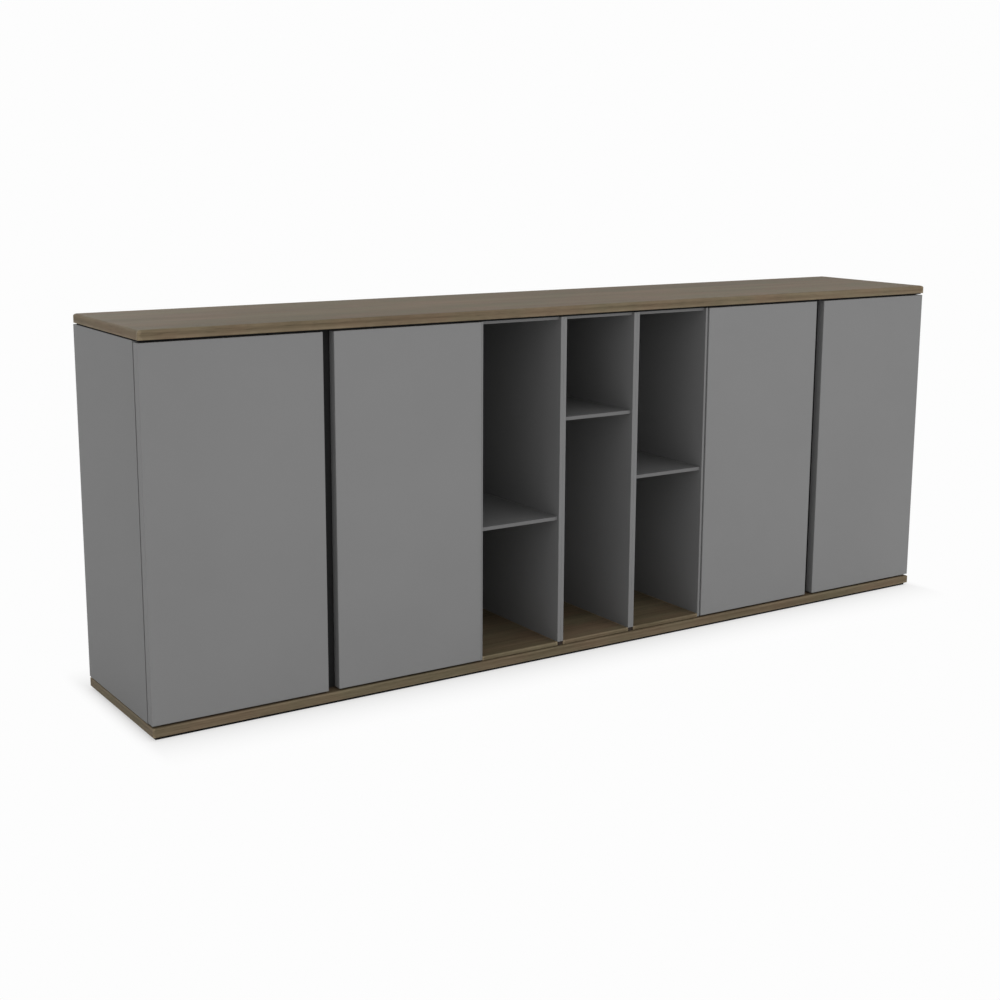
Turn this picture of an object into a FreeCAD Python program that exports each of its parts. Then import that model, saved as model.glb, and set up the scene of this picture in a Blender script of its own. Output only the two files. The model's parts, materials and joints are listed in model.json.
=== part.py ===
"""Office credenza: two handleless double-door cabinets either side of three open bays.

Millimetres. +X runs along the credenza, the doors face -Y, +Z is up.
The origin is on the floor, under the middle of the top panel.
"""
import FreeCAD, Part
import math
import os
from FreeCAD import Vector

# ---------------------------------------------------------------- driving dimensions
# overall
LENGTH = 2400.0                 # top and base panels, end to end
DEPTH = 420.0                   # top and base panels, front to back
PANEL_THICKNESS = 22.0          # oak top and base panels
PANEL_CORNER_RADIUS = 3.0       # upright corners of the oak panels
TOP_EDGE_RADIUS = 8.0           # upper edges of the top panel
PANEL_EDGE_RADIUS = 4.0         # upper edges of the base panel
PANEL_UNDER_RADIUS = 2.0        # lower edges of both panels
DOOR_HEIGHT = 851.0
DOOR_BOTTOM_GAP = 4.5           # base panel to the doors
DOOR_TOP_GAP = 5.5              # doors and bays to the top panel
SHADOW_GAP = 3.0                # cabinets to each oak panel
PLINTH_HEIGHT = 7.0             # black rails under the base panel

# black rails
PLINTH_INSET = 8.0              # plinth rails, in from the edge of the base panel
PLINTH_RAIL_WIDTH = 40.0
TOP_RAIL_INSET = 7.0            # rails under the top panel, in from its front edge
TOP_RAIL_WIDTH = 60.0
SPACER_RAIL_WIDTH = 30.0
SPACER_END_INSET = 4.0          # spacer rails, in from the end panels
SPACER_FRONT_INSET = 2.0        # spacer rails, back from the cabinets' front edges
SPACER_REAR_INSET = 14.0        # spacer rails, in from the cabinets' rear edges

# doors
DOOR_THICKNESS = 25.0
DOOR_REVEAL = 3.5               # oak panels stand this far in front of the doors
DOOR_EDGE_SOFTENING = 0.8       # width of the bevel round a door
DOOR_BACK_GAP = 4.5             # behind a closed door
LEFT_OUTER_DOOR_WIDTH = 434.0
LEFT_INNER_DOOR_WIDTH = 395.5
RIGHT_INNER_DOOR_WIDTH = 394.5
RIGHT_OUTER_DOOR_WIDTH = 400.0
FINGER_GAP = 28.0               # between the two doors of a pair

# cabinets
BOARD = 18.0                    # cabinet sides, tops, bottoms and posts
REAR_REVEAL = 0.5               # cabinets' rear edges, in from the oak panels' rear edges
BACK_THICKNESS = 6.0
BACK_RECESS = 2.0               # back panels, in from the rear edges of the sides
POST_WIDTH = 70.0               # post behind each finger gap
CABINET_SHELF_THICKNESS = 22.0
CABINET_SHELF_HEIGHT = 398.0    # underside, above the bottom board
SHELF_CLEARANCE = 1.0           # each end of a shelf
BUMPER_RADIUS = 4.0
BUMPER_CLEARANCE = 0.3          # bumper to the back of a closed door
BUMPER_END_DISTANCE = 60.0      # bumpers, in from the ends of the doors

# open bays
UNIT_SEAM = 1.6                 # open unit to each cabinet, where a door corner swings
BAY_BOARD = 9.0                 # sides and shelves of the bays
BAY_SHELL_BOARD = 7.0           # outermost sides and tops of the bays
BAY_SETBACK = 4.0               # bay sides, back from the door faces
BAY_TOP_SETBACK = 8.0           # bay tops, back from the bay sides
BAY_EDGE_RADIUS = 0.8
FLOOR_EDGE_RADIUS = 3.0         # front edges of the bays' floor boards
LEFT_BAY_EXTRA_WIDTH = 17.7     # clear width of an outer bay, beyond the middle bay's
RIGHT_BAY_EXTRA_WIDTH = 10.7
BAY_FLOOR_THICKNESS = 11.0      # oak floor boards, on the base panel
FLOOR_LAP = 0.5                 # inner sides, down past the top of the floor boards
FOOT_RAIL_INSET = 3.0           # black rails under the bay sides, back from their front edges
BAY_SHELF_SETBACK = 7.0         # bay shelves, back from the bay sides
LEFT_BAY_SHELF_HEIGHT = 329.5   # undersides, above the bottom of the doors
MIDDLE_BAY_SHELF_HEIGHT = 586.0
RIGHT_BAY_SHELF_HEIGHT = 410.0

# shelf pins
PIN_RADIUS = 2.4
PIN_HOLE_RADIUS = 2.5
PIN_DEPTH = 5.0                 # pin in its hole
PIN_HOLE_DEPTH = 5.5
PIN_LENGTH_OUT = 8.0            # pin under the shelf
PIN_INSET = 45.0                # pins, in from the front and rear edges of a shelf

# concealed hinges. u runs in from the door's hinged edge, v back from the door's face.
HINGE_END_DISTANCE = 100.0      # hinge centres, in from the ends of the doors
CUP_RADIUS = 17.5               # bore in the door
CUP_CLEARANCE = 0.1
CUP_DEPTH = 12.5
CUP_WALL = 0.8
CUP_EDGE_DISTANCE = 5.0         # edge of the cup's bore to the edge of the door
FLANGE_THICKNESS = 1.0
FLANGE_HALF_LENGTH = 30.0
FLANGE_START = 1.5              # edge of the flange, inward from the cup's centre
FLANGE_END = 16.0
FLANGE_CORNER_RADIUS = 6.0
DOWEL_OFFSET = 9.5              # press-in dowels of a cup, inward from the cup's centre
DOWEL_SPACING = 45.0
DOWEL_RADIUS = 4.0
DOWEL_DEPTH = 11.0
DOOR_OPENING = 95.0             # degrees
OUTER_ARM_PIVOT = (35.0, 42.3)
OUTER_CUP_PIVOT = (13.9, 17.8)
OUTER_LINK_SAGITTA = 13.1
INNER_ARM_PIVOT = (46.0, 48.9)
INNER_CUP_PIVOT = (14.4, 22.8)
INNER_LINK_SAGITTA = 8.4
OUTER_LINK_TURN = -0.443        # degrees that each link turns for each degree of the door
INNER_LINK_TURN = -0.465
LINK_THICKNESS = 3.0
LINK_BAND_WIDTH = 3.0
LINK_EYE_RADIUS = 2.8
LINK_SIDE_GAP = 0.3             # between neighbouring links, ears and cheeks
PIVOT_PIN_RADIUS = 1.25
PIVOT_PLAY = 0.05
EYE_PATH_STEPS = 38
EYE_PATH_PLAY = 0.1
EAR_THICKNESS = 2.0             # ears in the cup that hold its two pins
ARM_CHEEK = 1.5
ARM_NOSE_RADIUS = 3.8
ARM_KNEE = (29.0, 64.0)         # where the nose of the arm meets its straight body
ARM_BODY_WIDTH = 11.0
ARM_BODY_END = 98.0
PLATE_THICKNESS = 3.0
PLATE_FRONT = 54.0              # mounting plate, v of its front edge
PLATE_LENGTH = 22.0
PLATE_HALF_HEIGHT = 21.0
PLATE_RIDGE_HEIGHT = 6.0
PLATE_SCREW_SPACING = 32.0
PLATE_SCREW_HEAD_RADIUS = 4.0
PLATE_SCREW_HEAD_HEIGHT = 1.6
CLAMP_SCREW_RADIUS = 2.0
CLAMP_SCREW_HEAD_RADIUS = 3.6
CLAMP_SCREW_HEAD_HEIGHT = 1.8

TOLERANCE = 0.01                # when an edge is looked for at a place

# ---------------------------------------------------------------- levels and planes
BASE_BOTTOM = PLINTH_HEIGHT
BASE_TOP = BASE_BOTTOM + PANEL_THICKNESS
DOOR_BOTTOM = BASE_TOP + DOOR_BOTTOM_GAP
DOOR_TOP = DOOR_BOTTOM + DOOR_HEIGHT
TOP_BOTTOM = DOOR_TOP + DOOR_TOP_GAP
CABINET_BOTTOM = BASE_TOP + SHADOW_GAP
CABINET_TOP = TOP_BOTTOM - SHADOW_GAP

HALF_LENGTH = LENGTH / 2
FRONT = -DEPTH / 2
REAR = DEPTH / 2
DOOR_FACE = FRONT + DOOR_REVEAL
DOOR_BACK = DOOR_FACE + DOOR_THICKNESS
CABINET_FRONT = DOOR_BACK + DOOR_BACK_GAP
CABINET_REAR = REAR - REAR_REVEAL
BACK_REAR = CABINET_REAR - BACK_RECESS
BACK_FRONT = BACK_REAR - BACK_THICKNESS
BAY_FRONT = DOOR_FACE + BAY_SETBACK

CABINET_SHELF_Z = CABINET_BOTTOM + BOARD + CABINET_SHELF_HEIGHT
FLOOR_TOP = BASE_TOP + BAY_FLOOR_THICKNESS
INNER_SIDE_FOOT = FLOOR_TOP - FLOOR_LAP
BAY_TOP = DOOR_TOP

# each cabinet: name, direction from its end panel to the bays, width of its outer and inner doors
CABINETS = (
    ("left", 1, LEFT_OUTER_DOOR_WIDTH, LEFT_INNER_DOOR_WIDTH),
    ("right", -1, RIGHT_OUTER_DOOR_WIDTH, RIGHT_INNER_DOOR_WIDTH),
)

CUP_CENTRE_U = CUP_EDGE_DISTANCE + CUP_RADIUS
HINGE_HEIGHTS = (DOOR_BOTTOM + HINGE_END_DISTANCE, DOOR_TOP - HINGE_END_DISTANCE)


# ---------------------------------------------------------------- helpers
def box(x, y, z):
    """Box between two ends on each axis, given as pairs in either order."""
    low = Vector(min(x), min(y), min(z))
    size = Vector(max(x), max(y), max(z)) - low
    return Part.makeBox(size.x, size.y, size.z, low)


def soften(shape, radius, wanted):
    """Fillet the straight edges that the test accepts, given their middle and direction."""
    edges = []
    for edge in shape.Edges:
        if len(edge.Vertexes) == 2:
            start, end = (vertex.Point for vertex in edge.Vertexes)
            if wanted((start + end) * 0.5, (end - start).normalize()):
                edges.append(edge)
    return shape.makeFillet(radius, edges)


def export(node, solids):
    """Write one node, a single solid or a group of separate ones."""
    shape = solids[0] if len(solids) == 1 else Part.makeCompound(solids)
    shape.exportStep(os.path.join("parts", node + ".step"))


def cabinet_end(inward):
    """Outer face of a cabinet's end panel."""
    return -inward * HALF_LENGTH


def cabinet_inner(inward, outer_width, inner_width):
    """Face of a cabinet next to the open bays."""
    return cabinet_end(inward) + inward * (outer_width + FINGER_GAP + inner_width)


def doors():
    """Each door: name, edge that the hinges are on, free edge."""
    for name, inward, outer_width, inner_width in CABINETS:
        end = cabinet_end(inward)
        inner = cabinet_inner(inward, outer_width, inner_width)
        yield name + "_outer", end, end + inward * outer_width
        yield name + "_inner", inner, inner - inward * inner_width


def bays():
    """Each bay: name, left end, right end, underside of its shelf, outermost sides."""
    left, right = (cabinet_inner(*cabinet[1:]) + cabinet[1] * UNIT_SEAM for cabinet in CABINETS)
    sides = 2 * BAY_SHELL_BOARD + 4 * BAY_BOARD
    extra = LEFT_BAY_EXTRA_WIDTH + RIGHT_BAY_EXTRA_WIDTH
    middle_clear = (right - left - sides - extra) / 3
    left_seam = left + BAY_SHELL_BOARD + middle_clear + LEFT_BAY_EXTRA_WIDTH + BAY_BOARD
    right_seam = right - BAY_SHELL_BOARD - middle_clear - RIGHT_BAY_EXTRA_WIDTH - BAY_BOARD
    return (
        ("left_bay", left, left_seam, DOOR_BOTTOM + LEFT_BAY_SHELF_HEIGHT, ("left",)),
        ("middle_bay", left_seam, right_seam, DOOR_BOTTOM + MIDDLE_BAY_SHELF_HEIGHT, ()),
        ("right_bay", right_seam, right, DOOR_BOTTOM + RIGHT_BAY_SHELF_HEIGHT, ("right",)),
    )


def bay_clear(left, right, outermost):
    """Faces of a bay's two sides that look at each other."""
    left_board, right_board = (BAY_SHELL_BOARD if side in outermost else BAY_BOARD
                               for side in ("left", "right"))
    return left + left_board, right - right_board


# ---------------------------------------------------------------- oak panels and black rails
def oak_panel(bottom, upper_radius):
    """Oak board with its upper and lower edges rounded, and its upright corners softened."""
    top = bottom + PANEL_THICKNESS
    board = box((-HALF_LENGTH, HALF_LENGTH), (FRONT, REAR), (bottom, top))
    outline = soften(board, PANEL_CORNER_RADIUS, lambda middle, along: abs(along.z) > 0.5)
    for level, radius in ((top, upper_radius), (bottom, PANEL_UNDER_RADIUS)):
        rim = [edge for edge in board.Edges if abs(edge.BoundBox.ZMin - level) < TOLERANCE
               and abs(edge.BoundBox.ZMax - level) < TOLERANCE]
        board = board.makeFillet(radius, rim)
    return board.common(outline)


def rail_frame(ends, depth, rail_width, crosses, z):
    """Front and rear rails with cross rails between them, each a solid of its own."""
    front, rear = depth
    rails = [box(ends, (front, front + rail_width), z), box(ends, (rear - rail_width, rear), z)]
    for start in crosses:
        rails.append(box((start, start + rail_width), (front + rail_width, rear - rail_width), z))
    return rails


def cross_rails(outer, rail_width):
    """Left faces of four cross rails: one at each end, one under each cabinet's inner side."""
    left, right = (cabinet_inner(*cabinet[1:]) for cabinet in CABINETS)
    return -outer, left - rail_width, right, outer - rail_width


def plinth_rails():
    outer = HALF_LENGTH - PLINTH_INSET
    return rail_frame((-outer, outer), (FRONT + PLINTH_INSET, REAR - PLINTH_INSET),
                      PLINTH_RAIL_WIDTH, cross_rails(outer, PLINTH_RAIL_WIDTH), (0, PLINTH_HEIGHT))


def cabinet_rails(front, rail_width, level):
    """Rails on or under each cabinet: front, rear, and one at each end."""
    depth = (front, CABINET_REAR - SPACER_REAR_INSET)
    outer = HALF_LENGTH - SPACER_END_INSET
    crosses = cross_rails(outer, rail_width)
    left = rail_frame((-outer, crosses[1] + rail_width), depth, rail_width, crosses[:2], level)
    right = rail_frame((crosses[2], outer), depth, rail_width, crosses[2:], level)
    return left + right


def top_spacer_rails():
    """Rails over the cabinets, which reach out over the doors, and two rails over the bays."""
    over_cabinets = cabinet_rails(FRONT + TOP_RAIL_INSET, TOP_RAIL_WIDTH, (CABINET_TOP, TOP_BOTTOM))
    ends = tuple(cabinet_inner(*cabinet[1:]) for cabinet in CABINETS)
    depth = (BAY_FRONT + BAY_TOP_SETBACK, CABINET_REAR - SPACER_REAR_INSET)
    return over_cabinets + rail_frame(ends, depth, SPACER_RAIL_WIDTH, (), (BAY_TOP, TOP_BOTTOM))


def foot_rails():
    """Rail under each outermost side of the open bays, and under each pair of inner sides."""
    depth = (BAY_FRONT + FOOT_RAIL_INSET, CABINET_REAR - SPACER_REAR_INSET)
    rails = []
    for _, left, right, _, outermost in bays():
        clear_left, clear_right = bay_clear(left, right, outermost)
        if "left" in outermost:
            rails.append(box((left, clear_left), depth, (BASE_TOP, CABINET_BOTTOM)))
        else:
            rails.append(box((left - BAY_BOARD, clear_left), depth, (BASE_TOP, INNER_SIDE_FOOT)))
        if "right" in outermost:
            rails.append(box((clear_right, right), depth, (BASE_TOP, CABINET_BOTTOM)))
    return rails


def base_spacer_rails():
    """Rails between the base panel and the cabinets, and foot rails under the bays' sides."""
    under_cabinets = cabinet_rails(CABINET_FRONT + SPACER_FRONT_INSET, SPACER_RAIL_WIDTH,
                                   (BASE_TOP, CABINET_BOTTOM))
    return under_cabinets + foot_rails()


# ---------------------------------------------------------------- shelf pins
def shelf_pin_places(x_faces, y, shelf_bottom):
    """Pins for one shelf: the panel face each one stands on, and which way it points."""
    height = shelf_bottom - PIN_RADIUS
    low_face, high_face = min(x_faces), max(x_faces)
    for depth in (y[0] + PIN_INSET, y[1] - PIN_INSET):
        yield Vector(low_face, depth, height), Vector(1, 0, 0)
        yield Vector(high_face, depth, height), Vector(-1, 0, 0)


def shelf_pin(place, way):
    length = PIN_DEPTH + PIN_LENGTH_OUT
    return Part.makeCylinder(PIN_RADIUS, length, place - way * PIN_DEPTH, way)


def drill_pin_holes(panel, places):
    """Blind holes in a panel for those pins that stand on one of its faces."""
    span = panel.BoundBox
    for place, way in places:
        inside = place - way * (PIN_HOLE_DEPTH / 2)
        if span.XMin < inside.x < span.XMax:
            hole = Part.makeCylinder(PIN_HOLE_RADIUS, PIN_HOLE_DEPTH, place, -way)
            panel = panel.cut(hole)
    return panel


# ---------------------------------------------------------------- cabinets
def cabinet_faces(inward, outer_width, inner_width):
    """Inner faces of the end panel and of the side next to the open bays."""
    return (cabinet_end(inward) + inward * BOARD,
            cabinet_inner(inward, outer_width, inner_width) - inward * BOARD)


def cabinet_shelf_depth():
    return CABINET_FRONT + BOARD + SHELF_CLEARANCE, BACK_FRONT - SHELF_CLEARANCE


def cabinet_pins(inward, outer_width, inner_width):
    faces = cabinet_faces(inward, outer_width, inner_width)
    return list(shelf_pin_places(faces, cabinet_shelf_depth(), CABINET_SHELF_Z))


def post_edges(inward, outer_width):
    """Sides of the post that stands behind the finger gap."""
    middle = cabinet_end(inward) + inward * (outer_width + FINGER_GAP / 2)
    return middle - inward * POST_WIDTH / 2, middle + inward * POST_WIDTH / 2


def cabinet(name, inward, outer_width, inner_width):
    """The fixed boards of one cabinet, by name. The post is let into the top and bottom boards."""
    between = cabinet_faces(inward, outer_width, inner_width)
    end_face, inner_face = between
    depth = (CABINET_FRONT, CABINET_REAR)
    board_depth = (CABINET_FRONT, BACK_FRONT)
    height = (CABINET_BOTTOM, CABINET_TOP)
    pins = cabinet_pins(inward, outer_width, inner_width)
    end_panel = box((cabinet_end(inward), end_face), depth, height)
    inner_side = box((inner_face + inward * BOARD, inner_face), depth, height)
    shelf_ends = (end_face + inward * SHELF_CLEARANCE, inner_face - inward * SHELF_CLEARANCE)
    post_depth = (CABINET_FRONT, CABINET_FRONT + BOARD)
    post = box(post_edges(inward, outer_width), post_depth, height)
    bottom_board = box(between, board_depth, (CABINET_BOTTOM, CABINET_BOTTOM + BOARD))
    top_board = box(between, board_depth, (CABINET_TOP - BOARD, CABINET_TOP))
    shelf_z = (CABINET_SHELF_Z, CABINET_SHELF_Z + CABINET_SHELF_THICKNESS)
    return {
        name + "_end_panel": drill_pin_holes(end_panel, pins),
        name + "_inner_side": drill_pin_holes(inner_side, pins),
        name + "_cabinet_bottom": bottom_board.cut(post),
        name + "_cabinet_top": top_board.cut(post),
        name + "_cabinet_back": box(between, (BACK_FRONT, BACK_REAR), height),
        name + "_centre_post": post,
        name + "_cabinet_shelf": box(shelf_ends, cabinet_shelf_depth(), shelf_z),
    }


def door_bumpers():
    """Pads on the posts, two for each door, midway between a door's free edge and the post's."""
    pads = []
    thickness = DOOR_BACK_GAP - BUMPER_CLEARANCE
    out_from_middle = (FINGER_GAP / 2 + POST_WIDTH / 2) / 2
    for _, inward, outer_width, _ in CABINETS:
        middle = sum(post_edges(inward, outer_width)) / 2
        for x in (middle - out_from_middle, middle + out_from_middle):
            for z in (DOOR_BOTTOM + BUMPER_END_DISTANCE, DOOR_TOP - BUMPER_END_DISTANCE):
                place = Vector(x, CABINET_FRONT, z)
                pads.append(Part.makeCylinder(BUMPER_RADIUS, thickness, place, Vector(0, -1, 0)))
    return pads


# ---------------------------------------------------------------- open bays
def bay_board(x, y, z, grain, radius=BAY_EDGE_RADIUS):
    """Thin board, with the two front edges along its grain direction softened."""
    front = min(y)
    return soften(box(x, y, z), radius,
                  lambda middle, along: abs(getattr(along, grain)) > 0.5
                  and abs(middle.y - front) < TOLERANCE)


def bay_shelf_depth():
    return BAY_FRONT + BAY_SHELF_SETBACK, BACK_FRONT - SHELF_CLEARANCE


def bay_pins(left, right, shelf_z, outermost):
    faces = bay_clear(left, right, outermost)
    return list(shelf_pin_places(faces, bay_shelf_depth(), shelf_z))


def open_bay(name, left, right, shelf_z, outermost):
    """The boards of one bay. Its floor board lies between its sides, on the base panel."""
    depth = (BAY_FRONT, CABINET_REAR)
    clear = bay_clear(left, right, outermost)
    pins = bay_pins(left, right, shelf_z, outermost)
    left_foot = CABINET_BOTTOM if "left" in outermost else INNER_SIDE_FOOT
    right_foot = CABINET_BOTTOM if "right" in outermost else INNER_SIDE_FOOT
    left_side = bay_board((left, clear[0]), depth, (left_foot, BAY_TOP), "z")
    right_side = bay_board((clear[1], right), depth, (right_foot, BAY_TOP), "z")
    top_depth = (BAY_FRONT + BAY_TOP_SETBACK, BACK_FRONT)
    top_level = (BAY_TOP - BAY_SHELL_BOARD, BAY_TOP)
    shelf_ends = (clear[0] + SHELF_CLEARANCE / 2, clear[1] - SHELF_CLEARANCE / 2)
    shelf_level = (shelf_z, shelf_z + BAY_BOARD)
    return {
        name + "_left_side": drill_pin_holes(left_side, pins),
        name + "_right_side": drill_pin_holes(right_side, pins),
        name + "_floor": bay_board(clear, (BAY_FRONT, BACK_FRONT), (BASE_TOP, FLOOR_TOP), "x",
                                   FLOOR_EDGE_RADIUS),
        name + "_top": bay_board(clear, top_depth, top_level, "x"),
        name + "_back": box(clear, (BACK_FRONT, BACK_REAR), (FLOOR_TOP, BAY_TOP)),
        name + "_shelf": bay_board(shelf_ends, bay_shelf_depth(), shelf_level, "x"),
    }


def shelf_pins():
    places = [pin for cabinet_sizes in CABINETS for pin in cabinet_pins(*cabinet_sizes[1:])]
    for _, left, right, shelf_z, outermost in bays():
        places += bay_pins(left, right, shelf_z, outermost)
    return [shelf_pin(place, way) for place, way in places]


# ---------------------------------------------------------------- doors and hinges
def hinge_solid(solid, hinged_edge, free_edge, height):
    """Carry a solid from hinge space (u, v, up) to its door and height."""
    if free_edge < hinged_edge:
        solid = solid.mirror(Vector(0, 0, 0), Vector(1, 0, 0))
    solid.translate(Vector(hinged_edge, DOOR_FACE, height))
    return solid


def disc(centre, radius, levels):
    """Upright disc around a pivot, between two levels."""
    place = Vector(centre[0], centre[1], levels[0])
    return Part.makeCylinder(radius, levels[1] - levels[0], place)


def bar(start, end, half_width, levels):
    """Flat bar with round ends between two points."""
    a = Vector(start[0], start[1], levels[0])
    b = Vector(end[0], end[1], levels[0])
    along = (b - a).normalize()
    side = Vector(-along.y, along.x, 0) * half_width
    nose, tail = b + along * half_width, a - along * half_width
    wire = Part.Wire([
        Part.makeLine(a - side, b - side),
        Part.Arc(b - side, nose, b + side).toShape(),
        Part.makeLine(b + side, a + side),
        Part.Arc(a + side, tail, a - side).toShape(),
    ])
    return Part.Face(wire).extrude(Vector(0, 0, levels[1] - levels[0]))


def curved_band(start, end, sagitta, width, levels):
    """Band of even width along an arc that bulges towards the bottom of the cup."""
    a = Vector(start[0], start[1], levels[0])
    b = Vector(end[0], end[1], levels[0])
    chord = b - a
    bulge = Vector(-chord.y, chord.x, 0).normalize()
    if bulge.y > 0:
        bulge = bulge * -1
    radius = (chord.Length ** 2 / 4 + sagitta ** 2) / (2 * sagitta)
    centre = (a + b) * 0.5 + bulge * (sagitta - radius)

    def at(point, offset):
        return centre + (point - centre).normalize() * (radius + offset)

    crown = centre + bulge * radius
    half = width / 2
    wire = Part.Wire([
        Part.Arc(at(a, half), at(crown, half), at(b, half)).toShape(),
        Part.makeLine(at(b, half), at(b, -half)),
        Part.Arc(at(b, -half), at(crown, -half), at(a, -half)).toShape(),
        Part.makeLine(at(a, -half), at(a, half)),
    ])
    return Part.Face(wire).extrude(Vector(0, 0, levels[1] - levels[0]))


def link(arm_pivot, cup_eye, cup_hole, sagitta, levels):
    """Curved link with an eye at each end. The two eyes have walls of one thickness."""
    hole = PIVOT_PIN_RADIUS + PIVOT_PLAY
    wall = LINK_EYE_RADIUS - hole
    body = curved_band(arm_pivot, cup_eye, sagitta, LINK_BAND_WIDTH, levels).fuse([
        disc(arm_pivot, LINK_EYE_RADIUS, levels),
        disc(cup_eye, cup_hole + wall, levels),
    ]).removeSplitter()
    return body.cut([disc(arm_pivot, hole, levels), disc(cup_eye, cup_hole, levels)]).Solids[0]


def swung(vector, degrees):
    """A vector in hinge space, turned the way the door opens."""
    angle = math.radians(degrees)
    return Vector(vector.x * math.cos(angle) + vector.y * math.sin(angle),
                  vector.y * math.cos(angle) - vector.x * math.sin(angle), 0)


def inner_eye():
    """Middle and reach of the path that the inner cup pin takes, seen from the inner link."""
    outer_arm, outer_cup = Vector(*OUTER_ARM_PIVOT, 0), Vector(*OUTER_CUP_PIVOT, 0)
    inner_arm, inner_cup = Vector(*INNER_ARM_PIVOT, 0), Vector(*INNER_CUP_PIVOT, 0)
    path = []
    for step in range(EYE_PATH_STEPS + 1):
        opening = DOOR_OPENING * step / EYE_PATH_STEPS
        pivot = outer_arm + swung(outer_cup - outer_arm, OUTER_LINK_TURN * opening)
        pin = pivot + swung(inner_cup - outer_cup, opening)
        path.append(inner_arm + swung(pin - inner_arm, -INNER_LINK_TURN * opening))
    across = [point.x for point in path]
    along = [point.y for point in path]
    middle = Vector((min(across) + max(across)) / 2, (min(along) + max(along)) / 2, 0)
    return middle, max(point.distanceToPoint(middle) for point in path)


OUTER_LINK_LEVELS = (LINK_SIDE_GAP, LINK_SIDE_GAP + LINK_THICKNESS)
INNER_LINK_LEVELS = (-OUTER_LINK_LEVELS[1], -OUTER_LINK_LEVELS[0])
CHEEK_INSIDE = OUTER_LINK_LEVELS[1] + LINK_SIDE_GAP
CHEEK_OUTSIDE = CHEEK_INSIDE + ARM_CHEEK
EAR_OUTSIDE = CHEEK_INSIDE + EAR_THICKNESS
CUP_TOP_V = DOOR_THICKNESS
CUP_FLOOR_V = CUP_TOP_V - CUP_DEPTH
BORE_FLOOR_V = CUP_FLOOR_V - CUP_CLEARANCE


def outer_link():
    return link(OUTER_ARM_PIVOT, OUTER_CUP_PIVOT, PIVOT_PIN_RADIUS + PIVOT_PLAY,
                OUTER_LINK_SAGITTA, OUTER_LINK_LEVELS)


def inner_link():
    """Its eye in the cup is opened out to let the pin take its own path."""
    middle, reach = inner_eye()
    return link(INNER_ARM_PIVOT, (middle.x, middle.y), PIVOT_PIN_RADIUS + reach + EYE_PATH_PLAY,
                INNER_LINK_SAGITTA, INNER_LINK_LEVELS)


def cup_axis_disc(radius, v_from, v_to):
    """Disc along the cup's own axis, which runs from the door's face to its back."""
    place = Vector(CUP_CENTRE_U, v_from, 0)
    return Part.makeCylinder(radius, v_to - v_from, place, Vector(0, 1, 0))


def cup_ear(pivot, levels, pin_levels):
    """Ear on the floor of the cup, with the pin that it holds."""
    post = box((pivot[0] - LINK_EYE_RADIUS, pivot[0] + LINK_EYE_RADIUS),
               (CUP_FLOOR_V + CUP_WALL / 2, pivot[1]), levels)
    return post.fuse([disc(pivot, LINK_EYE_RADIUS, levels),
                      disc(pivot, PIVOT_PIN_RADIUS, pin_levels)])


def dowels(clearance):
    """The two press-in dowels beside a cup, or with a clearance the holes for them."""
    places = [Vector(CUP_CENTRE_U + DOWEL_OFFSET, CUP_TOP_V, level)
              for level in (-DOWEL_SPACING / 2, DOWEL_SPACING / 2)]
    return [Part.makeCylinder(DOWEL_RADIUS + clearance, DOWEL_DEPTH + clearance, place,
                              Vector(0, -1, 0)) for place in places]


def hinge_cup():
    """Pressed cup with its flange, dowels, two ears and two pivot pins."""
    outside = CUP_RADIUS - CUP_CLEARANCE
    shell = cup_axis_disc(outside, CUP_FLOOR_V, CUP_TOP_V)
    flange = box((CUP_CENTRE_U + FLANGE_START, CUP_CENTRE_U + FLANGE_END),
                 (CUP_TOP_V, CUP_TOP_V + FLANGE_THICKNESS),
                 (-FLANGE_HALF_LENGTH, FLANGE_HALF_LENGTH))
    flange = soften(flange, FLANGE_CORNER_RADIUS, lambda middle, along: abs(along.y) > 0.5)
    cup = shell.fuse([flange] + dowels(0))
    cup = cup.cut(cup_axis_disc(outside - CUP_WALL, CUP_FLOOR_V + CUP_WALL,
                                CUP_TOP_V + 2 * FLANGE_THICKNESS))
    outer_ear = cup_ear(OUTER_CUP_PIVOT, (CHEEK_INSIDE, EAR_OUTSIDE),
                        (OUTER_LINK_LEVELS[0], EAR_OUTSIDE))
    inner_ear = cup_ear(INNER_CUP_PIVOT, (-EAR_OUTSIDE, -CHEEK_INSIDE),
                        (-EAR_OUTSIDE, INNER_LINK_LEVELS[1]))
    return cup.fuse([outer_ear, inner_ear]).removeSplitter().Solids[0]


def arm_cheek(levels):
    """One side of the arm: a forked nose to both pivots, and a straight body."""
    half = ARM_BODY_WIDTH / 2
    body = box((ARM_KNEE[0] - half, ARM_KNEE[0] + half), (ARM_KNEE[1], ARM_BODY_END), levels)
    return body.fuse([
        bar(OUTER_ARM_PIVOT, ARM_KNEE, ARM_NOSE_RADIUS, levels),
        bar(INNER_ARM_PIVOT, ARM_KNEE, ARM_NOSE_RADIUS, levels),
    ])


def clamp_screw():
    """Screw through the web of the arm into the ridge of the mounting plate."""
    v = PLATE_FRONT + PLATE_LENGTH / 2
    web_face = ARM_KNEE[0] + ARM_BODY_WIDTH / 2
    foot = BOARD + PLATE_THICKNESS + PLATE_RIDGE_HEIGHT
    place = Vector(web_face, v, 0)
    head = Part.makeCylinder(CLAMP_SCREW_HEAD_RADIUS, CLAMP_SCREW_HEAD_HEIGHT, place, Vector(1, 0, 0))
    shank = Part.makeCylinder(CLAMP_SCREW_RADIUS, web_face - foot, place, Vector(-1, 0, 0))
    return head.fuse(shank).removeSplitter().Solids[0]


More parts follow.
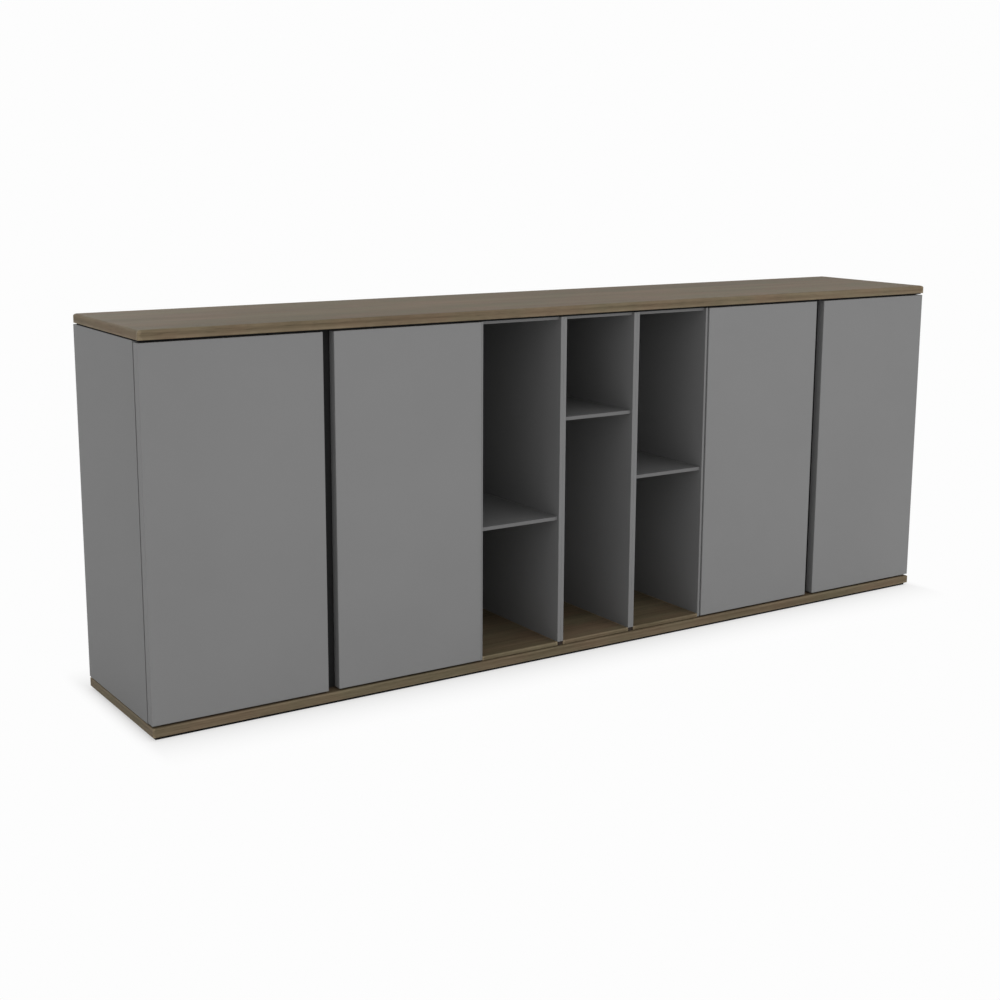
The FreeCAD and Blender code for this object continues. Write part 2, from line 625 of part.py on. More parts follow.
def clamp_screw_hole():
    v = PLATE_FRONT + PLATE_LENGTH / 2
    web_face = ARM_KNEE[0] + ARM_BODY_WIDTH / 2
    return Part.makeCylinder(CLAMP_SCREW_RADIUS, ARM_CHEEK, Vector(web_face - ARM_CHEEK, v, 0),
                             Vector(1, 0, 0))


def hinge_arm():
    """Channel-shaped arm with the two pins that carry the links."""
    upper = arm_cheek((CHEEK_INSIDE, CHEEK_OUTSIDE))
    lower = arm_cheek((-CHEEK_OUTSIDE, -CHEEK_INSIDE))
    web_face = ARM_KNEE[0] + ARM_BODY_WIDTH / 2
    web = box((web_face - ARM_CHEEK, web_face), (ARM_KNEE[1], ARM_BODY_END),
              (-CHEEK_OUTSIDE, CHEEK_OUTSIDE))
    pins = [
        disc(OUTER_ARM_PIVOT, PIVOT_PIN_RADIUS, (OUTER_LINK_LEVELS[0], CHEEK_OUTSIDE)),
        disc(INNER_ARM_PIVOT, PIVOT_PIN_RADIUS, (-CHEEK_OUTSIDE, INNER_LINK_LEVELS[1])),
    ]
    arm = upper.fuse([lower, web] + pins).removeSplitter()
    return arm.cut(clamp_screw_hole()).Solids[0]


def mounting_plate():
    """Plate screwed to the cabinet side, with the ridge that the arm sits over."""
    face = BOARD
    plate = box((face, face + PLATE_THICKNESS), (PLATE_FRONT, PLATE_FRONT + PLATE_LENGTH),
                (-PLATE_HALF_HEIGHT, PLATE_HALF_HEIGHT))
    plate = soften(plate, PLATE_THICKNESS, lambda middle, along: abs(along.x) > 0.5)
    ridge_half = OUTER_LINK_LEVELS[1]
    ridge = box((face + PLATE_THICKNESS, face + PLATE_THICKNESS + PLATE_RIDGE_HEIGHT),
                (PLATE_FRONT, PLATE_FRONT + PLATE_LENGTH), (-ridge_half, ridge_half))
    return plate.fuse(ridge).removeSplitter().Solids[0]


def plate_screws():
    """Heads of the two screws of one mounting plate."""
    face = BOARD + PLATE_THICKNESS
    v = PLATE_FRONT + PLATE_LENGTH / 2
    heads = []
    for level in (-PLATE_SCREW_SPACING / 2, PLATE_SCREW_SPACING / 2):
        heads.append(Part.makeCylinder(PLATE_SCREW_HEAD_RADIUS, PLATE_SCREW_HEAD_HEIGHT,
                                       Vector(face, v, level), Vector(1, 0, 0)))
    return heads


def door(hinged_edge, free_edge):
    """Door slab with the bores for its two hinge cups."""
    slab = box((hinged_edge, free_edge), (DOOR_FACE, DOOR_BACK), (DOOR_BOTTOM, DOOR_TOP))
    slab = slab.makeChamfer(DOOR_EDGE_SOFTENING, slab.Edges)
    for height in HINGE_HEIGHTS:
        for bore in [cup_axis_disc(CUP_RADIUS, BORE_FLOOR_V, DOOR_THICKNESS)] + dowels(CUP_CLEARANCE):
            slab = slab.cut(hinge_solid(bore, hinged_edge, free_edge, height))
    return slab.Solids[0]


def hung(make, hinged_edge, free_edge):
    """The same hinge piece at each hinge of one door."""
    return [hinge_solid(make(), hinged_edge, free_edge, height) for height in HINGE_HEIGHTS]


# ---------------------------------------------------------------- build
def main():
    os.makedirs("parts", exist_ok=True)
    export("top_panel", [oak_panel(TOP_BOTTOM, TOP_EDGE_RADIUS)])
    export("base_panel", [oak_panel(BASE_BOTTOM, PANEL_EDGE_RADIUS)])
    export("plinth_rails", plinth_rails())
    export("top_spacer_rails", top_spacer_rails())
    export("base_spacer_rails", base_spacer_rails())

    for cabinet_sizes in CABINETS:
        for node, solid in cabinet(*cabinet_sizes).items():
            export(node, [solid])
    export("door_bumpers", door_bumpers())

    for bay in bays():
        for node, solid in open_bay(*bay).items():
            export(node, [solid])
    export("shelf_pins", shelf_pins())

    shared = {"hinge_arms": [], "hinge_mounting_plates": [], "hinge_screws": []}
    for name, hinged_edge, free_edge in doors():
        edges = (hinged_edge, free_edge)
        export(name + "_door", [door(*edges)])
        export(name + "_hinge_cups", hung(hinge_cup, *edges))
        export(name + "_outer_links", hung(outer_link, *edges))
        export(name + "_inner_links", hung(inner_link, *edges))
        shared["hinge_arms"] += hung(hinge_arm, *edges)
        shared["hinge_mounting_plates"] += hung(mounting_plate, *edges)
        shared["hinge_screws"] += hung(clamp_screw, *edges)
        for screw in plate_screws():
            shared["hinge_screws"] += hung(screw.copy, *edges)
    for node, solids in shared.items():
        export(node, solids)


main()
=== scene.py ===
"""Looks for the office credenza: materials, softened edges, studio and camera.

Metres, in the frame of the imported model: +X along the credenza, the doors face -Y, +Z is up.
"""
import json
import math

import bpy
from mathutils import Matrix, Vector


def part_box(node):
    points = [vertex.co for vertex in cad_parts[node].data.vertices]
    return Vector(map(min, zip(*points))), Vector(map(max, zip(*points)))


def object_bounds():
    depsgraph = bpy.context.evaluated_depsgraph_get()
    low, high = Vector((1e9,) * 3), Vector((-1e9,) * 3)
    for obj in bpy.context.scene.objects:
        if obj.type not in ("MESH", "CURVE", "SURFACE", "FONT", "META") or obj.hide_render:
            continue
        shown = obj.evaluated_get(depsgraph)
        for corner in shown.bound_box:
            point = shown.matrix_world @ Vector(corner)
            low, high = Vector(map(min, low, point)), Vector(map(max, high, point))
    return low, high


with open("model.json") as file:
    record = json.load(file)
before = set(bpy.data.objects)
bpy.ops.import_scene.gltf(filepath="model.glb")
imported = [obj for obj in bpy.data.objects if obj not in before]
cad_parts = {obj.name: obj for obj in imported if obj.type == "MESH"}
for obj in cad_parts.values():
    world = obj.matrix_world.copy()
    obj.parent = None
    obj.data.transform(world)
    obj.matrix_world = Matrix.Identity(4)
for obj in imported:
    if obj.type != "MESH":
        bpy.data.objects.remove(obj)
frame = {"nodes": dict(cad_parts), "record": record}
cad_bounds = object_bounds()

MM = 0.001

# ---------------------------------------------------------------- camera
IMAGE_PIXELS = 1000
SENSOR_WIDTH = 36.0
FOCAL_PIXELS = 1556.2
CAMERA_YAW = math.radians(34.12)        # from +Y towards +X
CAMERA_DOWN = math.radians(10.945)
CAMERA_ROLL = math.radians(0.456)
CAMERA_PLACE = Vector((-2.3471, -3.3664, 1.2780))
PRINCIPAL_POINT = (527.1, 457.0)        # pixels from the top left corner

# ---------------------------------------------------------------- floor and light
FLOOR_SIZE = 60.0
FLOOR_ROUGHNESS = 0.9
FLOOR_SHADE_REACH = (0.045, 0.19)       # how far out the shadow fades, along X and along Y
FLOOR_SHADE = 0.46                      # share of the true shade that shows right beside the base
WORLD_LEVEL = 0.885
WORLD_SLOPE = (0.16, -0.36, -0.14)      # the surroundings are brightest in front
KEY_PLACE = (1.6, -3.6, 0.8)
KEY_SIZE = 1.4
KEY_POWER = 12.5
FILL_PLACE = (-0.6, 3.6, 1.4)
FILL_SIZE = 2.0
FILL_POWER = 10.0
LAMP_TARGET = (0.0, 0.0, 0.4)

# ---------------------------------------------------------------- colours, as sRGB
OAK_LIGHT = (0.462, 0.412, 0.334)
OAK_DARK = (0.366, 0.318, 0.246)
OAK_PORE = (0.215, 0.178, 0.128)
# Paler colour of the oak's edges: wear, and a painted highlight where rounded edges and corners
# catch the light.
OAK_WORN_HIGHLIGHT = (0.610, 0.550, 0.450)
GREY = (0.478, 0.478, 0.478)
GREY_DARK = (0.464, 0.464, 0.464)
# Paler grey of the lacquer's edges: wear and a painted highlight.
GREY_WORN_HIGHLIGHT = (0.560, 0.560, 0.560)
# Black of the rails in the shadow gaps and of the plinth: black paint, painted darker than the
# posts' charcoal as a painted shade of the gaps.
BLACK_AND_GAP_SHADE = (0.055, 0.055, 0.055)
CHARCOAL = (0.150, 0.150, 0.150)
# Painted shade: a brownish dark for the spacer rails on the base panel, standing in for the dim
# brown shade under the bay sides.
UMBER_PAINTED_SHADE = (0.205, 0.175, 0.155)
NICKEL = (0.880, 0.870, 0.850)
PAD = (0.620, 0.620, 0.610)
FLOOR_WHITE = (0.992, 0.992, 0.992)

# Linear factors: the tints that the wood drifts between, and the painted light that makes the base
# panel's end faces paler and bluer.
OAK_RUDDY = (1.06, 0.98, 0.98, 1.0)
OAK_OLIVE = (0.95, 1.01, 0.97, 1.0)
PLAIN = (1.0, 1.0, 1.0, 1.0)
END_FACE_LIGHT = {"base_panel": (1.22, 1.24, 1.32, 1.0)}

# Painted shade: share of the full colour on nodes with these words in their names, darker copies of
# one material where less light reaches them, most in the bays; the first match counts.
SHADE_TONES = (("top_panel", 0.975), ("bay_floor", 0.98), ("base_panel", 0.95), ("bay_shelf", 0.84),
         ("bay_top", 0.82), ("end_panel", 0.985), ("_bay_", 0.95))

# ---------------------------------------------------------------- patterns
# Noise: features per metre on each axis, detail, roughness and distortion.
# The first pattern breaks up both the edge wear and the painted edge highlight.
WEAR_AND_HIGHLIGHT_PATCHES = ((9.0, 9.0, 9.0), 4.0, 0.65, 0.0)
OAK_FIGURE = ((0.55, 9.0, 9.0), 4.0, 0.55, 0.7)
OAK_STREAKS = ((1.8, 110.0, 110.0), 5.0, 0.62, 0.15)
OAK_FIBRES = ((22.0, 520.0, 520.0), 2.0, 0.5, 0.0)
OAK_DRIFT = ((6.0, 15.0, 15.0), 2.0, 0.5, 0.0)
OAK_PORES = ((32.0, 950.0, 950.0), 1.0, 0.4, 0.0)
GREY_CLOUDS = ((2.4, 2.4, 2.4), 3.0, 0.6, 0.0)
GREY_SPECKLE = ((850.0, 850.0, 850.0), 2.0, 0.6, 0.0)
GREY_PEEL = ((300.0, 300.0, 300.0), 2.0, 0.55, 0.0)
BLACK_DUST = ((140.0, 140.0, 140.0), 4.0, 0.65, 0.0)
NICKEL_MARKS = ((1500.0, 1500.0, 160.0), 3.0, 0.6, 0.0)
NICKEL_HAZE = ((55.0, 55.0, 55.0), 3.0, 0.6, 0.0)
PAD_CLOUDS = ((400.0, 400.0, 400.0), 2.0, 0.5, 0.0)

# Spans of a noise's values that go from one end of a colour or amount to the other.
NOISE_SPAN = (0.3, 0.7)
OAK_SPAN = (0.38, 0.62)
DRIFT_SPAN = (0.36, 0.64)
PORE_SPAN = (0.60, 0.70)
OPEN_GRAIN_SPAN = (0.35, 0.60)
GREY_SPAN = (0.35, 0.65)
BLACK_SPAN = (0.35, 0.75)
NICKEL_SPAN = (0.30, 0.70)
PAD_SPAN = (0.35, 0.65)
PATCH_SPAN = (0.42, 0.68)

STREAK_SHARE = 0.60                     # of the streaks in the wood's colour, beside the figure
PORE_STRENGTH = 0.60
PORES_IN_PALE_WOOD = 0.25               # as many pores as this show where the streaks are pale
FIBRE_CONTRAST = (0.93, 1.07)
FIBRE_HEIGHT = 0.35                     # of the fibres, beside the depth of the pores
SPECKLE_SHARE = 0.30                    # of the speckle in the lacquer's colour
BLACK_LIFT = 1.15                       # dusty places are this much paler
NICKEL_HAZED = 0.88
PAD_SHADED = 0.92

# ---------------------------------------------------------------- surfaces
OAK_ROUGHNESS = (0.56, 0.66)
GREY_ROUGHNESS = (0.48, 0.56)
BLACK_ROUGHNESS = (0.66, 0.80)
NICKEL_ROUGHNESS = (0.34, 0.48)
PAD_ROUGHNESS = (0.34, 0.46)
OAK_SPECULAR = 0.12
GREY_SPECULAR = 0.28
BLACK_SPECULAR = 0.12

# Bumps: depth and strength.
OAK_RELIEF = (0.12 * MM, 0.5)
GREY_RELIEF = (0.04 * MM, 0.35)
BLACK_RELIEF = (0.05 * MM, 0.4)
NICKEL_RELIEF = (0.01 * MM, 0.3)
PAD_RELIEF = (0.02 * MM, 0.3)

# ---------------------------------------------------------------- worn edges with painted highlights, and softened edges
OAK_EDGE = 6.0 * MM                     # wear and painted highlight reach this far from the edges of a board
OAK_TOP_EDGE = 11.0 * MM                # and this far on the top panel, which is rounded more and painted with a broader highlight
GREY_EDGE = 1.6 * MM
CORNER_REACH = 1.7                      # wear and painted highlight at a corner reach this many edge widths in
LEAST_WEAR_AND_HIGHLIGHT = 0.25                       # share of the wear and painted highlight left between the patches
OAK_WEAR_AND_HIGHLIGHT = 0.35                         # how much of the worn colour, with its painted highlight, shows
GREY_WEAR_AND_HIGHLIGHT = 0.30
OAK_POLISH = 0.10                       # how much smoother a worn edge is
GREY_POLISH = 0.08
BAND_TURN = 0.7                         # a face counts as an end where its normal is this near X
BEVEL = 0.7 * MM
BEVEL_SEGMENTS = 2
BEVEL_ANGLE = math.radians(60)
WELD_DISTANCE = 0.01 * MM
SOFTENED = ("end_panel", "inner_side", "cabinet_top", "cabinet_bottom", "shelf")

# Sockets of a Mix node, which are alike in name: A, B and the result.
COLOUR_A, COLOUR_B, COLOUR_RESULT = 6, 7, 2
VECTOR_A, VECTOR_B, VECTOR_RESULT = 4, 5, 1


def linear(colour):
    """sRGB triple to a linear RGBA value."""
    def channel(value):
        return value / 12.92 if value <= 0.04045 else ((value + 0.055) / 1.055) ** 2.4
    return tuple(channel(value) for value in colour) + (1.0,)


def scaled(colour, factor):
    return tuple(value * factor for value in colour)


# ---------------------------------------------------------------- node helpers
class Graph:
    """Short calls to add and join shader nodes of one material."""

    def __init__(self, name):
        self.material = bpy.data.materials.new(name)
        self.material.use_nodes = True
        self.tree = self.material.node_tree
        self.shader = self.tree.nodes["Principled BSDF"]
        self.on_object = self.node("ShaderNodeTexCoord").outputs["Object"]
        self.position = self.on_object

    def node(self, kind, **settings):
        made = self.tree.nodes.new(kind)
        for key, value in settings.items():
            setattr(made, key, value)
        return made

    def feed(self, socket, value):
        """Set a socket to a number or a colour, or join another socket to it."""
        if isinstance(value, (int, float, tuple)):
            socket.default_value = value
        else:
            self.tree.links.new(value, socket)

    def noise(self, pattern, shift=0.0):
        """Noise of one of the patterns above. The shift keeps the boards from looking alike."""
        scale, detail, roughness, distortion = pattern
        mapping = self.node("ShaderNodeMapping")
        mapping.inputs["Scale"].default_value = scale
        mapping.inputs["Location"].default_value = (shift, shift, shift)
        self.feed(mapping.inputs["Vector"], self.position)
        made = self.node("ShaderNodeTexNoise")
        made.inputs["Scale"].default_value = 1.0
        made.inputs["Detail"].default_value = detail
        made.inputs["Roughness"].default_value = roughness
        made.inputs["Distortion"].default_value = distortion
        self.feed(made.inputs["Vector"], mapping.outputs["Vector"])
        return made.outputs["Fac"]

    def ramp(self, value, span, low, high):
        """From one sRGB colour to another over a span of the value."""
        made = self.node("ShaderNodeValToRGB")
        for element, position, colour in zip(made.color_ramp.elements, span, (low, high)):
            element.position = position
            element.color = linear(colour)
        self.feed(made.inputs["Fac"], value)
        return made.outputs["Color"]

    def math(self, operation, first, second=0.0):
        made = self.node("ShaderNodeMath", operation=operation)
        self.feed(made.inputs[0], first)
        self.feed(made.inputs[1], second)
        return made.outputs["Value"]

    def weigh(self, first, second, share):
        """Sum of two values in which the second has the given share."""
        return self.math("ADD", self.math("MULTIPLY", first, 1.0 - share),
                         self.math("MULTIPLY", second, share))

    def blend(self, factor, first, second, mode="MIX"):
        made = self.node("ShaderNodeMix", data_type="RGBA", blend_type=mode)
        self.feed(made.inputs[0], factor)
        self.feed(made.inputs[COLOUR_A], first)
        self.feed(made.inputs[COLOUR_B], second)
        return made.outputs[COLOUR_RESULT]

    def spread(self, value, span, start, end, smooth=False):
        """From start to end over a span of the value."""
        made = self.node("ShaderNodeMapRange")
        made.interpolation_type = "SMOOTHSTEP" if smooth else "LINEAR"
        made.inputs["From Min"].default_value, made.inputs["From Max"].default_value = span
        made.inputs["To Min"].default_value = start
        made.inputs["To Max"].default_value = end
        self.feed(made.inputs["Value"], value)
        return made.outputs["Result"]

    def bump(self, height, distance, strength):
        made = self.node("ShaderNodeBump")
        made.inputs["Distance"].default_value = distance
        made.inputs["Strength"].default_value = strength
        self.feed(made.inputs["Height"], height)
        return made.outputs["Normal"]

    def insets(self, low, high):
        """How far a point lies in from the nearest end of a box, on each axis."""
        split = self.node("ShaderNodeSeparateXYZ")
        self.feed(split.inputs["Vector"], self.on_object)
        result = []
        for axis in range(3):
            middle, half = (low[axis] + high[axis]) / 2, (high[axis] - low[axis]) / 2
            off = self.math("ABSOLUTE", self.math("SUBTRACT", split.outputs[axis], middle))
            result.append(self.math("SUBTRACT", half, off))
        return result

    def band_ends(self):
        """Turn the pattern on the faces that look along X, and return 1 on those faces."""
        split = self.node("ShaderNodeSeparateXYZ")
        self.feed(split.inputs["Vector"], self.on_object)
        turned = self.node("ShaderNodeCombineXYZ")
        for target, source in zip("XYZ", "YXZ"):
            self.feed(turned.inputs[target], split.outputs[source])
        facing = self.node("ShaderNodeSeparateXYZ")
        self.feed(facing.inputs["Vector"], self.node("ShaderNodeNewGeometry").outputs["Normal"])
        on_end = self.math("GREATER_THAN", self.math("ABSOLUTE", facing.outputs["X"]), BAND_TURN)
        pick = self.node("ShaderNodeMix", data_type="VECTOR")
        self.feed(pick.inputs[0], on_end)
        self.feed(pick.inputs[VECTOR_A], self.on_object)
        self.feed(pick.inputs[VECTOR_B], turned.outputs["Vector"])
        self.position = pick.outputs[VECTOR_RESULT]
        return on_end

    def edge_wear_and_highlight(self, board, width):
        """Mask of edge wear and painted highlight: near 1 along the edges and corners of a board,
        in patches, and 0 inside its faces.
        """
        across, along, up = self.insets(*board)
        nearest = self.math("MINIMUM", self.math("ADD", across, along), self.math("ADD", along, up))
        nearest = self.math("MINIMUM", nearest, self.math("ADD", across, up))
        rim = self.spread(nearest, (0.0, width), 1.0, 0.0, smooth=True)
        patches = self.spread(self.noise(WEAR_AND_HIGHLIGHT_PATCHES), PATCH_SPAN, LEAST_WEAR_AND_HIGHLIGHT, 1.0)
        # Painted highlight at the corners, a light spot where the rounded edges meet.
        depth = self.math("ADD", self.math("ADD", across, along), up)
        corners = self.spread(depth, (width, width * CORNER_REACH), 1.0, 0.0, smooth=True)
        return self.math("MAXIMUM", self.math("MULTIPLY", rim, patches), corners)

    def polished(self, roughness, wear_and_highlight, amount):
        """Roughness that is lower where the surface is worn."""
        return self.math("SUBTRACT", roughness, self.math("MULTIPLY", wear_and_highlight, amount))

    def finish(self, colour, roughness, normal, **fixed):
        """Join the surface, set what is the same all over, and return the material."""
        for name, source in (("Base Color", colour), ("Roughness", roughness), ("Normal", normal)):
            self.feed(self.shader.inputs[name], source)
        for name, value in fixed.items():
            self.shader.inputs[name.replace("_", " ")].default_value = value
        return self.material


# ---------------------------------------------------------------- materials
# Painted shade: the share of its material's full colour that a node gets for where it stands.
def shade_tone_of(node):
    return next((share for words, share in SHADE_TONES if words in node), 1.0)


def oak(node, board, seed):
    """Greyed oak with its grain along X: broad figure, fine streaks, open pores, worn edges with a
    painted highlight, painted shade by node, and painted light on the base panel's ends.
    """
    g = Graph("grey_oak_" + node)
    on_end = g.band_ends()
    # Painted shade: the wood's colours are scaled down by the node's share.
    shade_tone = shade_tone_of(node)
    streaks = g.noise(OAK_STREAKS, seed)
    fibres = g.noise(OAK_FIBRES, seed)
    mixed = g.weigh(g.noise(OAK_FIGURE, seed), streaks, STREAK_SHARE)
    wood = g.ramp(mixed, OAK_SPAN, scaled(OAK_DARK, shade_tone), scaled(OAK_LIGHT, shade_tone))
    drift = g.spread(g.noise(OAK_DRIFT, seed), DRIFT_SPAN, 0.0, 1.0)
    wood = g.blend(1.0, wood, g.blend(drift, OAK_RUDDY, OAK_OLIVE), "MULTIPLY")
    # Painted light: the base panel's end faces are painted paler and bluer than its other faces.
    end_face_light = END_FACE_LIGHT.get(node, PLAIN)
    wood = g.blend(on_end, wood, g.blend(1.0, wood, end_face_light, "MULTIPLY"))
    open_grain = g.spread(streaks, OPEN_GRAIN_SPAN, 1.0, PORES_IN_PALE_WOOD)
    pores = g.spread(g.noise(OAK_PORES, seed), PORE_SPAN, 0.0, PORE_STRENGTH)
    pores = g.math("MULTIPLY", pores, open_grain)
    colour = g.blend(pores, wood, linear(OAK_PORE))
    colour = g.blend(1.0, colour, g.spread(fibres, NOISE_SPAN, *FIBRE_CONTRAST), "MULTIPLY")
    # Paler edges: wear, and a painted highlight along the rounded edges and corners, broadest on
    # the top panel.
    wear_and_highlight = g.edge_wear_and_highlight(board, OAK_TOP_EDGE if node == "top_panel" else OAK_EDGE)
    colour = g.blend(g.math("MULTIPLY", wear_and_highlight, OAK_WEAR_AND_HIGHLIGHT), colour, linear(OAK_WORN_HIGHLIGHT))
    roughness = g.polished(g.spread(streaks, NOISE_SPAN, *OAK_ROUGHNESS), wear_and_highlight, OAK_POLISH)
    height = g.math("SUBTRACT", g.math("MULTIPLY", fibres, FIBRE_HEIGHT), pores)
    return g.finish(colour, roughness, g.bump(height, *OAK_RELIEF),
                    Specular_IOR_Level=OAK_SPECULAR)


def lacquer(node, board, seed):
    """Satin mid-grey lacquer: faint clouds, orange peel, edges painted paler for wear and a painted
    highlight, and painted shade by node.
    """
    g = Graph("grey_lacquer_" + node)
    # Painted shade: the lacquer's colours are scaled down by the node's share.
    shade_tone = shade_tone_of(node)
    clouds = g.noise(GREY_CLOUDS, seed)
    mixed = g.weigh(clouds, g.noise(GREY_SPECKLE, seed), SPECKLE_SHARE)
    colour = g.ramp(mixed, GREY_SPAN, scaled(GREY_DARK, shade_tone), scaled(GREY, shade_tone))
    # Paler edges: wear and a painted highlight.
    wear_and_highlight = g.edge_wear_and_highlight(board, GREY_EDGE)
    colour = g.blend(g.math("MULTIPLY", wear_and_highlight, GREY_WEAR_AND_HIGHLIGHT), colour, linear(GREY_WORN_HIGHLIGHT))
    roughness = g.polished(g.spread(clouds, NOISE_SPAN, *GREY_ROUGHNESS), wear_and_highlight, GREY_POLISH)
    peel = g.bump(g.noise(GREY_PEEL, seed), *GREY_RELIEF)
    return g.finish(colour, roughness, peel, Specular_IOR_Level=GREY_SPECULAR)


def dark_lacquer(name, paint):
    """Matt dark lacquer of the rails in the shadow gaps, the plinth and the posts, in the paint
    given; the darker paints of the rails and the plinth carry painted shade.
    """
    g = Graph(name)
    dust = g.noise(BLACK_DUST)
    colour = g.ramp(dust, BLACK_SPAN, paint, scaled(paint, BLACK_LIFT))
    return g.finish(colour, g.spread(dust, NOISE_SPAN, *BLACK_ROUGHNESS),
                    g.bump(dust, *BLACK_RELIEF), Specular_IOR_Level=BLACK_SPECULAR)


def nickel(name):
    """Nickel-plated pressed steel with faint drawing marks and handling haze."""
    g = Graph(name)
    haze = g.noise(NICKEL_HAZE)
    colour = g.ramp(haze, NICKEL_SPAN, scaled(NICKEL, NICKEL_HAZED), NICKEL)
    return g.finish(colour, g.spread(haze, NOISE_SPAN, *NICKEL_ROUGHNESS),
                    g.bump(g.noise(NICKEL_MARKS), *NICKEL_RELIEF), Metallic=1.0)


def soft_pad(name):
    """Milky polyurethane of the door bumpers."""
    g = Graph(name)
    cloud = g.noise(PAD_CLOUDS)
    colour = g.ramp(cloud, PAD_SPAN, scaled(PAD, PAD_SHADED), PAD)
    return g.finish(colour, g.spread(cloud, NOISE_SPAN, *PAD_ROUGHNESS),
                    g.bump(cloud, *PAD_RELIEF))


def dress_nodes():
    """Give every node its material. A board gets its own, so that its wear and painted highlight
    follow its edges and its painted shade suits its place.
    """
    boards = {"grey_oak": oak, "grey_lacquer": lacquer}
    # The rails and the plinth get the black that carries painted shade.
    shared = {"black_board": dark_lacquer("matt_black_lacquer_with_painted_shade", BLACK_AND_GAP_SHADE),
              "nickel_plate": nickel("nickel_plate"),
              "bumper_rubber": soft_pad("bumper_pad")}
    # The posts get the paler charcoal; the spacer rails on the base panel get the umber of painted
    # shade.
    charcoal = dark_lacquer("matt_charcoal_lacquer", CHARCOAL)
    other_paint = {"left_centre_post": charcoal, "right_centre_post": charcoal,
                   "base_spacer_rails": dark_lacquer("umber_painted_shade", UMBER_PAINTED_SHADE)}
    for count, part in enumerate(frame["record"]["subparts"]):
        node, slot = part["node"], part["material_slot"]
        if slot in boards:
            material = boards[slot](node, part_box(node), float(count))
        else:
            material = other_paint.get(node, shared[slot])
        mesh = frame["nodes"][node].data
        mesh.materials.clear()
        mesh.materials.append(material)


def soften_boards():
    """Fine bevel on the sharp edges of the plain boards."""
    for part in frame["record"]["subparts"]:
        if part["node"].endswith(SOFTENED):
            piece = frame["nodes"][part["node"]]
            weld = piece.modifiers.new("weld", "WELD")
            weld.merge_threshold = WELD_DISTANCE
            bevel = piece.modifiers.new("bevel", "BEVEL")
            bevel.width = BEVEL
            bevel.segments = BEVEL_SEGMENTS
            bevel.limit_method = "ANGLE"
            bevel.angle_limit = BEVEL_ANGLE


# ---------------------------------------------------------------- studio
def floor_material():
    """White to the camera, with a share of its true shade close to the credenza."""
    g = Graph("studio_floor")
    g.shader.inputs["Base Color"].default_value = linear(FLOOR_WHITE)
    g.shader.inputs["Roughness"].default_value = FLOOR_ROUGHNESS
    g.shader.inputs["Specular IOR Level"].default_value = 0.0
    beyond = []
    for inset, reach in zip(g.insets(*cad_bounds), FLOOR_SHADE_REACH):
        outside = g.math("MAXIMUM", g.math("DIVIDE", inset, -reach), 0.0)
        beyond.append(g.math("MULTIPLY", outside, outside))
    away = g.math("SQRT", g.math("ADD", *beyond))
    near = g.spread(away, (0.0, 1.0), 1.0, 0.0)
    shade = g.math("MULTIPLY", g.math("MULTIPLY", near, near), FLOOR_SHADE)
    path = g.node("ShaderNodeLightPath")
    keep = g.math("MAXIMUM", shade, g.math("SUBTRACT", 1.0, path.outputs["Is Camera Ray"]))
    white = g.node("ShaderNodeEmission")
    white.inputs["Color"].default_value = linear(FLOOR_WHITE)
    mix = g.node("ShaderNodeMixShader")
    g.feed(mix.inputs["Fac"], keep)
    g.feed(mix.inputs[1], white.outputs["Emission"])
    g.feed(mix.inputs[2], g.shader.outputs["BSDF"])
    g.feed(g.tree.nodes["Material Output"].inputs["Surface"], mix.outputs["Shader"])
    return g.material


def studio_floor():
    """Wide floor under the credenza."""
    half = FLOOR_SIZE / 2
    mesh = bpy.data.meshes.new("studio_floor")
    mesh.from_pydata([(-half, -half, 0), (half, -half, 0), (half, half, 0), (-half, half, 0)],
                     [], [(0, 1, 2, 3)])
    mesh.materials.append(floor_material())
    floor = bpy.data.objects.new("studio_floor", mesh)
    bpy.context.scene.collection.objects.link(floor)


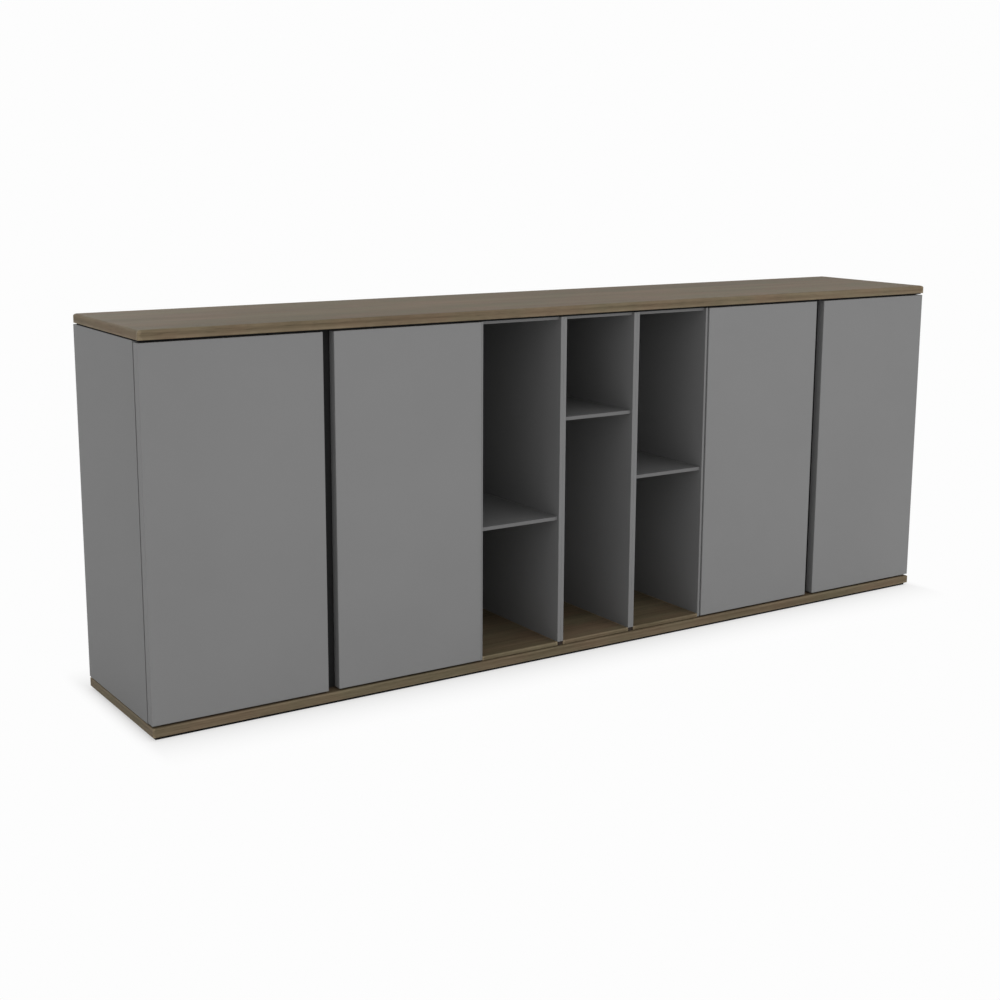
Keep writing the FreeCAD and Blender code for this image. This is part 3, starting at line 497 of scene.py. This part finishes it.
def studio_world():
    """Soft surroundings, plain white to the camera and in reflections."""
    world = bpy.data.worlds.new("studio")
    world.use_nodes = True
    bpy.context.scene.world = world
    nodes, links = world.node_tree.nodes, world.node_tree.links
    slope = nodes.new("ShaderNodeVectorMath")
    slope.operation = "DOT_PRODUCT"
    slope.inputs[1].default_value = WORLD_SLOPE
    links.new(nodes.new("ShaderNodeTexCoord").outputs["Generated"], slope.inputs[0])
    level = nodes.new("ShaderNodeMath")
    level.operation = "ADD"
    level.inputs[1].default_value = WORLD_LEVEL
    links.new(slope.outputs["Value"], level.inputs[0])
    surround = nodes["Background"]
    surround.inputs["Color"].default_value = (1.0, 1.0, 1.0, 1.0)
    links.new(level.outputs["Value"], surround.inputs["Strength"])
    seen = nodes.new("ShaderNodeBackground")
    seen.inputs["Strength"].default_value = 1.0
    seen.inputs["Color"].default_value = linear(FLOOR_WHITE)
    path = nodes.new("ShaderNodeLightPath")
    either = nodes.new("ShaderNodeMath")
    either.operation = "MAXIMUM"
    links.new(path.outputs["Is Camera Ray"], either.inputs[0])
    links.new(path.outputs["Is Glossy Ray"], either.inputs[1])
    mix = nodes.new("ShaderNodeMixShader")
    links.new(either.outputs["Value"], mix.inputs["Fac"])
    links.new(surround.outputs["Background"], mix.inputs[1])
    links.new(seen.outputs["Background"], mix.inputs[2])
    links.new(mix.outputs["Shader"], nodes["World Output"].inputs["Surface"])


def area_light(name, place, size, power):
    """Large soft square lamp that faces the middle of the credenza."""
    data = bpy.data.lights.new(name, "AREA")
    data.shape = "SQUARE"
    data.size = size
    data.energy = power
    lamp = bpy.data.objects.new(name, data)
    lamp.location = place
    lamp.rotation_euler = (Vector(LAMP_TARGET) - Vector(place)).to_track_quat("-Z", "Y").to_euler()
    bpy.context.scene.collection.objects.link(lamp)


def studio_camera():
    """Camera at the photograph's point of view, with a small lens shift."""
    forward = Vector((math.sin(CAMERA_YAW) * math.cos(CAMERA_DOWN),
                      math.cos(CAMERA_YAW) * math.cos(CAMERA_DOWN), -math.sin(CAMERA_DOWN)))
    level = Vector((math.cos(CAMERA_YAW), -math.sin(CAMERA_YAW), 0.0))
    upright = level.cross(forward)
    right = math.cos(CAMERA_ROLL) * level + math.sin(CAMERA_ROLL) * upright
    up = math.cos(CAMERA_ROLL) * upright - math.sin(CAMERA_ROLL) * level
    data = bpy.data.cameras.new("camera")
    data.sensor_fit = "HORIZONTAL"
    data.sensor_width = SENSOR_WIDTH
    data.lens = FOCAL_PIXELS / IMAGE_PIXELS * SENSOR_WIDTH
    data.shift_x = 0.5 - PRINCIPAL_POINT[0] / IMAGE_PIXELS
    data.shift_y = PRINCIPAL_POINT[1] / IMAGE_PIXELS - 0.5
    camera = bpy.data.objects.new("camera", data)
    camera.matrix_world = Matrix.LocRotScale(
        CAMERA_PLACE, Matrix((right, up, -forward)).transposed().to_quaternion(), None)
    bpy.context.scene.collection.objects.link(camera)
    bpy.context.scene.camera = camera


# ---------------------------------------------------------------- build
dress_nodes()
soften_boards()
studio_floor()
studio_world()
area_light("key", KEY_PLACE, KEY_SIZE, KEY_POWER)
area_light("fill", FILL_PLACE, FILL_SIZE, FILL_POWER)
studio_camera()
bpy.context.scene.view_settings.view_transform = "Standard"
